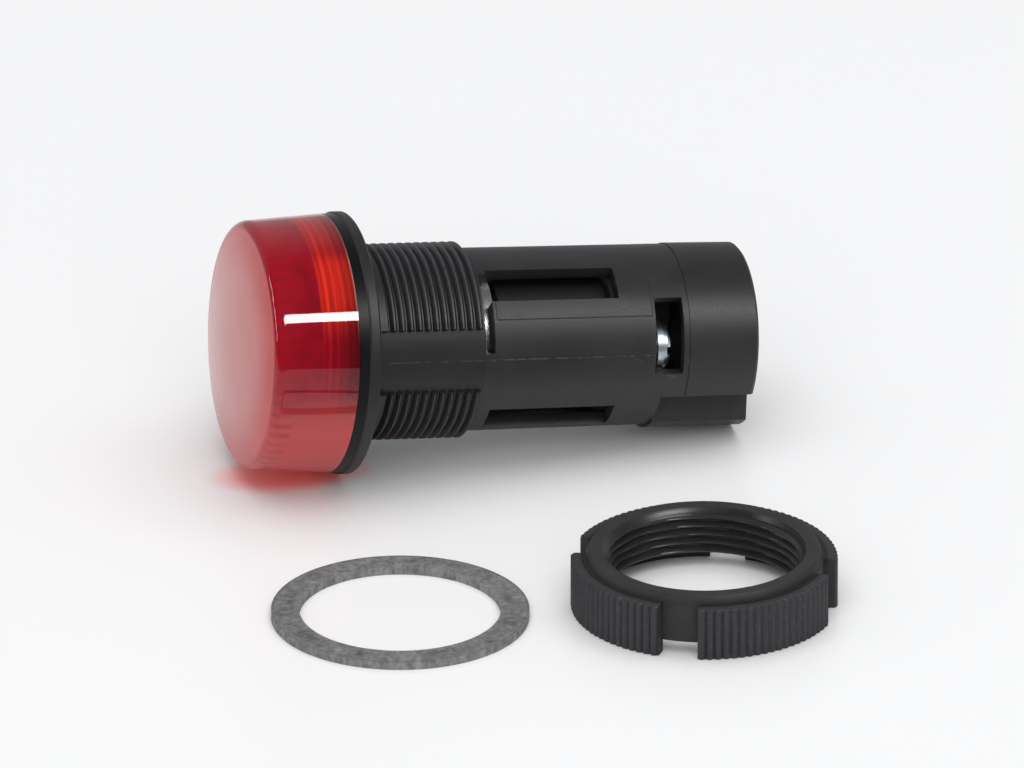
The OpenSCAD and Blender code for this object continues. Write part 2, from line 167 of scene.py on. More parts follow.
class Graph:
    """Node tree of one material or world, built from expressions."""

    def __init__(self, tree: bpy.types.NodeTree) -> None:
        """Empties the tree and keeps it."""
        self.tree = tree
        self.tree.nodes.clear()

    def node(
        self,
        kind: str,
        settings: dict[str, Any] | None = None,
        values: dict[Any, Any] | None = None,
        output: Any = 0,
    ) -> Sock:
        """Adds a node.

        Args:
            kind: The node's type.
            settings: Its own settings, set first.
            values: A number, colour or Sock for each of its inputs, by name or place.
            output: Name or place of the output that is returned.

        Returns:
            The output, wrapped.
        """
        made = self.tree.nodes.new(kind)
        for name, value in (settings or {}).items():
            setattr(made, name, value)
        for name, value in (values or {}).items():
            if isinstance(value, Sock):
                self.tree.links.new(value.link, made.inputs[name])
            else:
                made.inputs[name].default_value = value
        return Sock(self, made.outputs[output] if len(made.outputs) else None)

    def stretch(self, vector: Sock, scale: Tone) -> Sock:
        """A vector with each part multiplied."""
        return self.node("ShaderNodeMapping", POINT, {"Vector": vector, "Scale": scale})

    def place(self, centre: Vector | None = None) -> Sock:
        """Object coordinates in millimetres, counted from centre where one is given."""
        at = self.node("ShaderNodeTexCoord", output="Object")
        if centre is not None:
            shift = tuple(-centre)
            at = self.node("ShaderNodeMapping", POINT, {"Vector": at, "Location": shift})
        return self.stretch(at, (1 / MM,) * 3)

    def dot(self, vector: Sock, direction: Vector) -> Sock:
        """Length of the vector along a direction."""
        return self.node(
            "ShaderNodeVectorMath",
            {"operation": "DOT_PRODUCT"},
            {0: vector, 1: tuple(direction)},
            "Value",
        )

    def split(self, vector: Sock) -> tuple[Sock, Sock, Sock]:
        """The three parts of a vector."""
        made = self.node("ShaderNodeSeparateXYZ", values={0: vector}).link.node
        return tuple(Sock(self, part) for part in made.outputs)

    def join(self, x: Any, y: Any, z: Any) -> Sock:
        """A vector from three values."""
        return self.node("ShaderNodeCombineXYZ", values={0: x, 1: y, 2: z})

    def noise(self, at: Sock, scale: float, detail: float = 3.0, rough: float = 0.55) -> Sock:
        """Fractal noise from about 0.3 to 0.7, with that many lumps a millimetre."""
        return self.node(
            "ShaderNodeTexNoise",
            values={"Vector": at, "Scale": scale, "Detail": detail, "Roughness": rough},
        )

    def mix(self, factor: Any, first: Any, second: Any) -> Sock:
        """Colour that goes from first to second as factor goes from 0 to 1."""
        return self.node(
            "ShaderNodeMix", {"data_type": "RGBA"}, {0: factor, 6: first, 7: second}, 2
        )

    def bump(self, height: Sock, depth: float, strength: float = 1.0) -> Sock:
        """Normal of a height from 0 to 1 that stands depth metres high."""
        return self.node(
            "ShaderNodeBump", values={"Height": height, "Distance": depth, "Strength": strength}
        )

    def surface(self, **values: Any) -> Sock:
        """A Principled shader with those sockets, underscores standing for spaces."""
        named = {name.replace("_", " "): value for name, value in values.items()}
        return self.node("ShaderNodeBsdfPrincipled", values=named)

    def finish(self, shader: Sock) -> None:
        """Links a shader to the output."""
        self.node("ShaderNodeOutputMaterial", values={"Surface": shader})


def colour(red: float, green: float, blue: float) -> tuple[float, float, float, float]:
    """Colour socket value."""
    return (red, green, blue, 1.0)


@dataclass(frozen=True)
class LightAxes:
    """The light's own axes in the shared frame."""

    along: Vector
    across: Vector
    up: Vector

    @classmethod
    def from_record(cls, record: dict[str, Any]) -> "LightAxes":
        """Reads the barrel's direction from its mount and rolls the other two about it."""
        mounts = record.get("mounts") or record["interfaces"]["mounts"]
        barrel = next(m for m in mounts if m["name"] == "panel_barrel")
        along = Vector(barrel["axis"]).normalized()
        side = Vector((0.0, 1.0, 0.0))
        rise = along.cross(side) * -1.0
        if rise.z < 0:
            rise = -rise
        across = side * math.cos(ROLL) - rise * math.sin(ROLL)
        up = side * math.sin(ROLL) + rise * math.cos(ROLL)
        return cls(along, across, up)

    def places(self, g: Graph) -> tuple[Sock, Sock, Sock, Sock, Sock]:
        """Object coordinates in the light's axes.

        Args:
            g: The graph they are added to.

        Returns:
            Vector, along, radius and angle (0 on the far parting line), and angle above
            the near parting line.
        """
        at = g.place()
        z = g.dot(at, self.along)
        x = g.dot(at, self.across)
        y = g.dot(at, self.up)
        radius = (x * x + y * y).root()
        angle = y.turn_from(x)
        near = y.turn_from(-x)
        return g.join(x, y, z), z, radius, angle, near


# ------------------------------------------------------------------------- finishes


@dataclass(frozen=True)
class Finish:
    """A finish: name of its material and how its nodes are made."""

    name: str

    def nodes(self, g: Graph) -> Sock:
        """Adds the nodes and returns the shader."""
        raise NotImplementedError

    def material(self) -> bpy.types.Material:
        """The material, made once."""
        made = bpy.data.materials.get(f"finish_{self.name}")
        if made is None:
            made = bpy.data.materials.new(f"finish_{self.name}")
            made.use_nodes = True
            g = Graph(made.node_tree)
            g.finish(self.nodes(g))
        return made

    def put_on(self, *objects: bpy.types.Object) -> None:
        """Gives objects this finish alone."""
        for obj in objects:
            obj.data.materials.clear()
            obj.data.materials.append(self.material())


@dataclass(frozen=True)
class RedLens(Finish):
    """Clear red moulded plastic: dark where it is smooth, orange over the collar where light from
    above is painted in.

    A Span is where something starts and is full, or its two edges, in millimetres: along
    the light from the panel seat, out from its axis, or up from its middle.
    """

    axes: LightAxes
    rib_count: int = 60
    thread_pitch: float = 0.9
    tint: float = 0.72
    painted_top_light_up: Span = (5.5, 10.5)
    painted_top_light_fades_up: Span = (13.9, 12.8)
    painted_table_reflection_up: Span = (2.0, -5.0)
    comb_along: Span = (-11.9, -9.6)
    comb_out: Span = (12.4, 13.4)
    front_part_along: Span = (-8.0, -11.0)
    collar_along: Span = (-6.75, -6.5)
    painted_seal_shade_along: Span = (-4.6, -2.8)
    low_painted_seal_shade_along: Span = (-5.8, -4.4)
    face_out: Span = (13.25, 13.0)
    face_along: Span = (-10.5, -11.3)
    pale_middle_out: Span = (13.2, 7.0)
    painted_edge_glint_along: Span = (-2.66, -2.5)

    def side(self, g: Graph, places: tuple[Sock, ...], painted_top_light: Sock, height: Sock) -> Sock:
        """Colour of the lens side.

        Args:
            g: The graph.
            places: Coordinates in the light's axes.
            painted_top_light: Where light from above is painted into the collar.
            height: Height above the light's middle, in millimetres.

        Returns:
            Smooth red in front, rings of thread over the collar in painted light and shade,
            painted shade towards the seal, a painted reflection of the table low on the side, and
            a comb of ribs.
        """
        at, z, radius, angle, _ = places
        ribs = (angle * (self.rib_count / (2 * math.pi))).wave(1.0).step(0.3, 0.8)
        comb = z.band(*self.comb_along, 0.25) * radius.step(*self.comb_out)
        fine = g.noise(g.join(z * 3.2, angle * 0.5, 0.0), 1.0, 3.0, 0.7).step(0.38, 0.62)
        rings = (z / self.thread_pitch).wave(1.0).step(0.2, 0.9) * 0.55 + fine * 0.45
        cloud = g.noise(at, 0.3, 2.0).step(0.35, 0.65)
        smooth = g.mix(cloud, colour(0.29, 0.003, 0.014), colour(0.38, 0.004, 0.017))
        front_part = z.step(*self.front_part_along) * 0.7
        smooth = g.mix(front_part, smooth, colour(0.46, 0.006, 0.020))
        # Painted light and shade: lit and shaded copies of the collar red, brighter and more
        # orange where light from above is painted in.
        lit = g.mix(painted_top_light, colour(0.46, 0.004, 0.020), colour(0.95, 0.042, 0.018))
        shade = g.mix(painted_top_light, colour(0.26, 0.003, 0.010), colour(0.52, 0.012, 0.010))
        # Painted shade: the collar darkens towards the seal, more so where no light from above is
        # painted.
        painted_seal_shade = z.step(*self.painted_seal_shade_along) * 0.5 + z.step(*self.low_painted_seal_shade_along) * (1 - painted_top_light) * 0.4
        collar = g.mix(painted_seal_shade, g.mix(rings, shade, lit), colour(0.10, 0.002, 0.004))
        side = g.mix(z.step(*self.collar_along), smooth, collar)
        # Painted reflection of the white table: the side turns pale pinkish red below the light's
        # middle.
        side = g.mix(height.step(*self.painted_table_reflection_up), side, colour(0.66, 0.070, 0.076))
        return g.mix(comb * ribs * (0.2 + cloud * 0.3), side, colour(0.24, 0.012, 0.018))

    def nodes(self, g: Graph) -> Sock:
        """Side and misted front, as a tinted surface over a clear one."""
        places = self.axes.places(g)
        at, z, radius, _, _ = places
        _, _, height = g.split(g.place())
        # Painted light from above: it rises with height and eases off near the top of the lens.
        painted_top_light = height.step(*self.painted_top_light_up) * (height.step(*self.painted_top_light_fades_up) * 0.6 + 0.4)
        mist = g.noise(at, 0.09, 2.0).step(0.35, 0.65)
        front = g.mix(mist, colour(0.66, 0.034, 0.036), colour(0.74, 0.056, 0.058))
        # The front grows paler pink towards its middle.
        front = g.mix(radius.step(*self.pale_middle_out) * 0.8, front, colour(0.76, 0.29, 0.28))
        face = radius.step(*self.face_out) * z.step(*self.face_along)
        base = g.mix(face, self.side(g, places, painted_top_light, height), front)
        # Painted glint: a thin pale line round the lens's back edge where light from above is
        # painted.
        painted_edge_glint = z.band(*self.painted_edge_glint_along, 0.03) * painted_top_light
        base = g.mix(painted_edge_glint * 0.5, base, colour(0.55, 0.36, 0.32))
        clear = g.surface(
            Base_Color=g.mix(0.5, base, colour(0.80, 0.02, 0.03)),
            Roughness=0.03,
            IOR=1.49,
            Transmission_Weight=1.0,
        )
        tinted = g.surface(Base_Color=base, Roughness=0.03, IOR=1.49)
        return g.node("ShaderNodeMixShader", values={0: self.tint, 1: clear, 2: tinted})


@dataclass(frozen=True)
class BlackMoulding(Finish):
    """Matte black moulded plastic with a fine grain, greyed seams and small scuffs, and painted
    shade inside the wall and on part of the barrel.

    A Span is where something starts and is full, or its two edges: in millimetres along
    the light from the panel seat or out from its axis, or in radians from the near seam.
    """

    axes: LightAxes
    tone: float = 0.012
    rough: float = 0.50
    scuffed: float = 1.0
    scuffs_along: Span = (29.0, 39.0)
    seam_angle: Span = (0.013, 0.005)
    seam_starts: Span = (2.0, 2.4)
    seam_ends: Span = (33.6, 33.2)
    ledge_angle: Span = (0.43, 0.45)
    ledge_starts: Span = (14.8, 15.0)
    ledge_ends: Span = (33.2, 33.0)
    crest_out: Span = (10.6, 10.95)
    thread_along: Span = (2.4, 13.4)
    painted_shade_inside_out: Span = (9.4, 8.9)
    painted_shade_angle: Span = (0.45, 0.40)
    painted_shade_ends: Span = (13.6, 13.2)

    def nodes(self, g: Graph) -> Sock:
        """Grain, flow clouds, scuffs round the terminal windows, a worn seam, and painted shade
        inside the wall and on part of the barrel.
        """
        at, z, radius, _, near = self.axes.places(g)
        cloud = g.noise(at, 0.12, 3.0)
        grain = g.noise(at, 7.0, 2.0)
        marks = g.noise(g.stretch(at, (1.0, 1.0, 0.35)), 1.7, 5.0, 0.7).step(0.60, 0.70)
        region = z.band(*self.scuffs_along, 2.5) * g.noise(at, 0.3, 1.0).step(0.42, 0.62)
        seam = near.size().step(*self.seam_angle) * g.noise(at, 1.2, 4.0).step(0.40, 0.58)
        seam = seam * (z.step(*self.seam_starts) * z.step(*self.seam_ends))
        wear = (marks * region + seam * 0.8) * self.scuffed
        ledge = near.step(*self.ledge_angle)
        ledge = ledge * z.step(*self.ledge_starts) * z.step(*self.ledge_ends)
        base = g.mix(
            cloud.step(0.3, 0.7),
            colour(self.tone, self.tone, self.tone * 1.08),
            colour(self.tone * 1.5, self.tone * 1.5, self.tone * 1.65),
        )
        base = g.mix(wear * 0.55, base, colour(0.12, 0.12, 0.13))
        crest = radius.step(*self.crest_out) * z.band(*self.thread_along, 0.2)
        crest = crest * grain.step(0.3, 0.6)
        base = g.mix(crest * 0.6, base, colour(0.085, 0.085, 0.095))
        # Painted shade: darker on the front part of the housing below a line a little above the
        # near seam, and inside the housing wall.
        strip = near.step(*self.painted_shade_angle) * z.step(*self.painted_shade_ends)
        painted_shade_mask = radius.step(*self.painted_shade_inside_out) * 0.6 + strip * 0.5
        base = g.mix(painted_shade_mask, base, colour(0.004, 0.004, 0.0045))
        return g.surface(
            Base_Color=base,
            Roughness=grain.step(0.2, 0.8) * 0.12 + cloud * 0.12 + (self.rough - 0.12),
            IOR=1.5,
            Normal=g.bump(grain * 0.15 + marks * 0.1 + ledge * 0.8, 6e-5, 0.8),
        )


@dataclass(frozen=True)
class SealRubber(Finish):
    """Glossy black seal ring."""

    axes: LightAxes

    def nodes(self, g: Graph) -> Sock:
        """Near black with a soft ripple round the ring."""
        at, z, radius, angle, _ = self.axes.places(g)
        ripple = g.noise(g.join(angle * 3.0, z, radius), 1.0, 2.0)
        return g.surface(
            Base_Color=g.mix(ripple, colour(0.004, 0.004, 0.004), colour(0.008, 0.008, 0.009)),
            Roughness=ripple * 0.12 + 0.30,
            IOR=1.5,
            Specular_IOR_Level=0.16,
            Normal=g.bump(ripple, 3e-5, 0.4),
        )


@dataclass(frozen=True)
class Plated(Finish):
    """Plated metal, brushed lightly and stained in patches."""

    bright: Tone
    dull: Tone
    rough: float = 0.28

    def nodes(self, g: Graph) -> Sock:
        """Patchy plating colour, with a finer grain in its roughness and bump."""
        at = g.place()
        patches = g.noise(at, 0.6, 4.0).step(0.35, 0.68)
        grain = g.noise(at, 4.0, 3.0)
        return g.surface(
            Base_Color=g.mix(patches, colour(*self.bright), colour(*self.dull)),
            Metallic=1.0,
            Roughness=grain * 0.2 + patches * 0.08 + (self.rough - 0.12),
            Normal=g.bump(grain, 1.2e-5, 0.5),
        )


@dataclass(frozen=True)
class InnerPlastic(Finish):
    """Plain moulded plastic of the parts inside the housing."""

    base: Tone
    rough: float = 0.45

    def nodes(self, g: Graph) -> Sock:
        """Soft clouds of colour and a fine moulded grain."""
        at = g.place()
        cloud = g.noise(at, 0.3, 3.0)
        grain = g.noise(at, 6.0, 2.0)
        darker = tuple(part * 0.7 for part in self.base)
        return g.surface(
            Base_Color=g.mix(cloud, colour(*darker), colour(*self.base)),
            Roughness=grain * 0.15 + (self.rough - 0.07),
            Normal=g.bump(grain, 1.2e-5, 0.5),
        )


@dataclass(frozen=True)
class LampGlass(Finish):
    """Thin clear glass of the lamp."""

    def nodes(self, g: Graph) -> Sock:
        """Clear glass with faint waves."""
        waves = g.noise(g.place(), 0.5, 1.0)
        return g.surface(
            Base_Color=g.mix(waves, colour(0.93, 0.95, 0.96), colour(0.98, 0.98, 0.98)),
            Roughness=waves * 0.03,
            IOR=1.47,
            Transmission_Weight=1.0,
            Normal=g.bump(waves, 2e-5, 0.4),
        )


@dataclass(frozen=True)
class GasketRubber(Finish):
    """Grey rubber, dusted with chalk and scraped across in short radial streaks.

    A Span is where something starts and is full, or its two edges, in millimetres out.
    """

    centre: Vector
    hole_out: Span = (11.2, 11.4)
    rim_out: Span = (14.25, 14.05)
    track_out: Span = (11.9, 13.5)
    line_out: Span = (14.02, 14.22)

    def nodes(self, g: Graph) -> Sock:
        """Mottling, a dark worn track, radial scrapes and chalky side walls."""
        at = g.place(self.centre)
        x, y, z = g.split(at)
        radius = (x * x + y * y).root()
        angle = y.turn_from(x)
        streaks = g.noise(g.join(angle * 15.0, radius * 0.5, z * 0.4), 1.0, 4.0, 0.7)
        specks = g.noise(at, 1.2, 5.0, 0.7)
        patches = g.noise(at, 0.17, 2.0).step(0.40, 0.58)
        face = radius.step(*self.hole_out) * radius.step(*self.rim_out)
        worn = radius.band(*self.track_out, 0.4) * streaks.step(0.44, 0.60) * patches
        pale = streaks.step(0.50, 0.66) * (1 - patches)
        base = g.mix(specks.step(0.3, 0.7), colour(0.105, 0.105, 0.110), colour(0.22, 0.22, 0.22))
        base = g.mix(worn * 0.75, base, colour(0.050, 0.050, 0.052))
        base = g.mix(pale * face * 0.45, base, colour(0.36, 0.36, 0.355))
        walls = (1 - face) * streaks.step(0.42, 0.62)
        base = g.mix(walls * 0.6, base, colour(0.33, 0.315, 0.295))
        line = radius.band(*self.line_out, 0.05)
        base = g.mix(line * 0.5, base, colour(0.07, 0.07, 0.085))
        return g.surface(
            Base_Color=base,
            Roughness=specks * 0.2 + 0.62,
            Normal=g.bump(specks * 0.6 + streaks * 0.4, 6e-5, 0.7),
        )


@dataclass(frozen=True)
class NutPlastic(Finish):
    """Matte black nylon of the ring nut, dusty on its ridges.

    A Span is where something starts and is full, or its two edges, in millimetres out
    from the nut's axis or up from the table.
    """

    centre: Vector
    thread_out: Span = (11.6, 11.1)
    skirt_out: Span = (13.5, 14.2)
    painted_gap_shade_out: Span = (13.25, 13.65)
    painted_gap_shade_up: Span = (5.0, 5.6)

    def nodes(self, g: Graph) -> Sock:
        """Warm black with faint dust that catches on the upper edges, and painted shade under the
        collar.
        """
        at = g.place(self.centre)
        x, y, z = g.split(at)
        radius = (x * x + y * y).root()
        cloud = g.noise(at, 0.25, 3.0)
        grain = g.noise(at, 5.0, 3.0)
        dust = g.noise(at, 1.4, 5.0, 0.7).step(0.52, 0.72)
        thread = radius.step(*self.thread_out)
        skirt = radius.step(*self.skirt_out)
        base = g.mix(cloud, colour(0.019, 0.018, 0.017), colour(0.028, 0.026, 0.025))
        base = g.mix(skirt, base, colour(0.027, 0.027, 0.031))
        base = g.mix(dust * (0.12 + skirt * 0.2), base, colour(0.10, 0.098, 0.095))
        # Painted shade: a dark band where the collar meets the skirt.
        painted_gap_shade = radius.band(*self.painted_gap_shade_out, 0.12) * z.step(*self.painted_gap_shade_up)
        base = g.mix(painted_gap_shade * 0.85, base, colour(0.004, 0.004, 0.004))
        return g.surface(
            Base_Color=base,
            Roughness=(0.58 - thread * 0.30) + grain * 0.12,
            IOR=1.5,
            Normal=g.bump(grain, 1.5e-5, 0.6),
        )


@dataclass(frozen=True)
class TableTop(Finish):
    """White glossy table that takes the shadow and a faint reflection."""

    painted_light_centre: Span = (-6.5, -1.0)
    painted_light_half: Span = (8.5, 5.0)

    def nodes(self, g: Graph) -> Sock:
        """White with slow faint clouds, and a painted red patch of light, glowing faintly, where
        light would come through the lens.
        """
        at = g.place()
        cloud = g.noise(at, 0.004, 2.0)
        white = g.mix(cloud, colour(0.93, 0.93, 0.935), colour(0.95, 0.95, 0.95))
        x, y, _ = g.split(at)
        along = (x - self.painted_light_centre[0]) / self.painted_light_half[0]
        across = (y - self.painted_light_centre[1]) / self.painted_light_half[1]
        # Painted light: a red patch as if lit through the lens, glowing faintly, fixed on the
        # table.
        lit = (along * along + across * across).root().step(1.25, 0.55)
        return g.surface(
            Base_Color=g.mix(lit * 0.75, white, colour(0.86, 0.17, 0.16)),
            Emission_Color=g.mix(lit, BLACK, colour(0.11, 0.010, 0.008)),
            Emission_Strength=1.0,
            Roughness=0.3,
            IOR=1.4,
        )


# --------------------------------------------------------------------------- meshes


def grid_faces(rows: int, columns: int, closed: bool) -> np.ndarray:
    """Quads of a grid of points.

    Args:
        rows: Points along the first parameter.
        columns: Points along the second, which is joined round.
        closed: Whether the first parameter is joined round too.

    Returns:
        Corner numbers, four to a face.
    """
    last = rows if closed else rows - 1
    i, j = np.meshgrid(np.arange(last), np.arange(columns), indexing="ij")
    i2, j2 = (i + 1) % rows, (j + 1) % columns
    quads = np.stack([i * columns + j, i2 * columns + j, i2 * columns + j2, i * columns + j2], -1)
    return quads.reshape(-1, 4)


def mesh_object(
    name: str, points: np.ndarray, faces: list[list[int]], smooth: bool
) -> bpy.types.Object:
    """Makes a mesh object at the origin.

    Args:
        name: Its name.
        points: Points in metres, one row each.
        faces: Corner numbers, one row each.
        smooth: Whether its faces are shaded smooth.

    Returns:
        The object, linked to the scene.
    """
    mesh = bpy.data.meshes.new(name)
    mesh.from_pydata(points.tolist(), [], faces)
    mesh.validate()
    if smooth:
        mesh.shade_smooth()
    obj = bpy.data.objects.new(name, mesh)
    bpy.context.scene.collection.objects.link(obj)
    return obj


def merged(obj: bpy.types.Object, distance: float) -> None:
    """Joins points closer than distance, which closes poles and seams."""
    mesh = bmesh.new()
    mesh.from_mesh(obj.data)
    bmesh.ops.remove_doubles(mesh, verts=mesh.verts, dist=distance)
    mesh.to_mesh(obj.data)
    mesh.free()


def outward(obj: bpy.types.Object) -> None:
    """Turns every face of a closed mesh outwards."""
    mesh = bmesh.new()
    mesh.from_mesh(obj.data)
    bmesh.ops.recalc_face_normals(mesh, faces=mesh.faces)
    mesh.to_mesh(obj.data)
    mesh.free()


# --------------------------------------------------------------------- sub-assemblies


@dataclass
class Lens:
    """The red lens, with its ribs and inner thread, and the glossy seal behind it.

    Lengths are in millimetres, and places along the light count from the panel seat.
    """

    nodes: dict[str, bpy.types.Object]
    axes: LightAxes
    taper: float = 0.5
    corner: float = 1.25
    back: float = -2.5
    corner_z: float = -10.85
    rise: float = 1.2
    wall: float = 1.4
    bore: float = 13.1
    bore_z: float = -7.5
    ribs: int = 60
    rib_depth: float = 0.5
    rib_len: float = 1.6
    rib_radius: float = 11.6
    thread_depth: float = 0.14
    pitch: float = 0.9
    steps_round: int = 480
    steps_bore: int = 60

    def shell_line(self, inset: float, count: int) -> np.ndarray:
        """Outline of the cup's outside, or of its inside when inset by the wall.

        It is a straight side, a quarter round about the corner's centre, and an arc of a
        large circle whose rise over its half width gives its radius, down to the axis.

        Args:
            inset: Distance inside the outer surface.
            count: Points on the dome.

        Returns:
            Radius and place along the axis, from the back edge to the axis.
        """
        low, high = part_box("lens")
        skirt = (high.y - low.y) / 2 / MM - inset
        side = skirt - self.taper
        corner = self.corner - inset / 2
        centre = np.array([side - corner, self.corner_z + inset / 2])
        wall = np.linspace([skirt, self.back], [side, centre[1]], 24)
        turn = np.linspace(0.0, np.pi / 2, 12)[1:]
        bend = centre + corner * np.stack([np.cos(turn), -np.sin(turn)], 1)
        edge = centre[0]
        ball = (edge**2 + self.rise**2) / (2 * self.rise)
        radius = edge * np.linspace(1.0, 0.0, count)[1:]
        top = centre[1] - corner - self.rise + ball - np.sqrt(ball**2 - radius**2)
        return np.concatenate([wall, bend, np.stack([radius, top], 1)])

    def build(self) -> bpy.types.Object:
        """Makes the cup as one outline carried round the axis.

        The outline runs over the outside to the axis and back along the inside. Inside the
        corner its radius drops by the rib depth where a cosine of the angle times the rib
        count is high. Down the bore it gains the thread depth times a triangle wave of the
        place along the axis, wound as a helix.
        """
        outside = self.shell_line(0.0, 40)
        inside = self.shell_line(self.wall, 24)[::-1]
        inside = inside[inside[:, 1] < self.bore_z - 0.25]
        ribbed = np.linspace(inside[-1], [inside[-1, 0], self.bore_z - 0.05], 6)[1:]
        bore = np.linspace([self.bore, self.bore_z], [self.bore, self.back], self.steps_bore)
        line = np.concatenate([outside, inside, ribbed, bore])
        around = np.linspace(0.0, 2 * np.pi, self.steps_round, endpoint=False)
        radius = np.broadcast_to(line[:, 0], (self.steps_round, len(line))).copy()
        along = np.broadcast_to(line[:, 1], radius.shape)
        inner = np.arange(len(line)) >= len(outside)
        rib = np.clip(np.cos(around * self.ribs) * 2.0, 0.0, 1.0)[:, None]
        reach = np.clip((self.corner_z + self.rib_len - along) / 0.15, 0.0, 1.0)
        reach *= np.clip((radius - self.rib_radius) / 0.6, 0.0, 1.0) * inner
        helix = (along - self.pitch * around[:, None] / (2 * np.pi)) / self.pitch
        wave = np.abs(helix % 1.0 - 0.5)
        thread = (along > self.bore_z + 0.3) & (along < self.back - 0.3) & inner
        radius -= rib * reach * self.rib_depth
        radius += wave * 2 * self.thread_depth * thread
        own_axes = np.array([self.axes.across, self.axes.up, self.axes.along])
        local = np.stack(
            [radius * np.cos(around)[:, None], radius * np.sin(around)[:, None], along], -1
        )
        placed = local.reshape(-1, 3) @ own_axes * MM
        faces = grid_faces(self.steps_round, len(line), True).tolist()
        lens = mesh_object("lens_cup", placed, faces, True)
        merged(lens, 1e-6)
        outward(lens)
        lens.data.set_sharp_from_angle(angle=math.radians(50))
        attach(lens, Body.LENS.value)
        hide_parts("lens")
        return lens

    def dress(self) -> list[str]:
        """Builds the cup and finishes it and the seal."""
        lens = self.build()
        RedLens("red_lens", self.axes).put_on(lens, self.nodes["lens"])
        SealRubber("seal_rubber", self.axes).put_on(self.nodes["lens_seal"])
        return [lens.name, "lens_seal"]


@dataclass
class Shell:
    """Housing and rear cap."""

    nodes: dict[str, bpy.types.Object]
    axes: LightAxes

    def dress(self) -> list[str]:
        """Finishes the two black mouldings."""
        BlackMoulding("black_housing", self.axes).put_on(self.nodes["housing"])
        BlackMoulding("black_cap", self.axes, 0.011, 0.48, 0.5).put_on(self.nodes["rear_cap"])
        InnerPlastic("block_plastic", (0.02, 0.019, 0.02)).put_on(self.nodes["terminal_block"])
        return ["housing", "rear_cap", "terminal_block"]


@dataclass
class Lamp:
    """The lamp, its socket and the bright sleeve round it."""

    nodes: dict[str, bpy.types.Object]
    finishes: dict[str, Finish] = field(
        default_factory=lambda: {
            "heat_sleeve": Plated("bright_sleeve", (0.83, 0.83, 0.84), (0.66, 0.66, 0.68), 0.22),
            "lamp_socket": InnerPlastic("socket_plastic", (0.02, 0.02, 0.022)),
            "socket_shell": Plated("plated_shell", (0.76, 0.75, 0.72), (0.6, 0.58, 0.55)),
            "lamp_base": Plated("lamp_metal", (0.72, 0.71, 0.68), (0.55, 0.53, 0.5), 0.32),
            "lamp_insulator": InnerPlastic("lamp_insulator", (0.02, 0.02, 0.03), 0.3),
            "lamp_glass": LampGlass("lamp_glass"),
            "lamp_filament": Plated("filament_wire", (0.45, 0.44, 0.43), (0.3, 0.3, 0.3), 0.4),
            "centre_contact": Plated("contact_brass", (0.8, 0.6, 0.28), (0.62, 0.45, 0.2)),
        }
    )

    def dress(self) -> list[str]:
        """Finishes each inner part."""
        for name, finish in self.finishes.items():
            finish.put_on(self.nodes[name])
        return list(self.finishes)


@dataclass
class Terminals:
    """Strips, clamp washers and screws."""

    nodes: dict[str, bpy.types.Object]

    def dress(self) -> list[str]:
        """Finishes the brass and the zinc-plated steel."""
        brass = Plated("strip_brass", (0.78, 0.62, 0.33), (0.6, 0.46, 0.24), 0.3)
        zinc = Plated("zinc_steel", (0.70, 0.78, 0.86), (0.50, 0.56, 0.62), 0.3)
        brass.put_on(self.nodes["terminal_strip_1"], self.nodes["terminal_strip_2"])
        names = ["clamp_washer_1", "clamp_washer_2", "terminal_screw_1", "terminal_screw_2"]
        zinc.put_on(*[self.nodes[name] for name in names])
        return names + ["terminal_strip_1", "terminal_strip_2"]


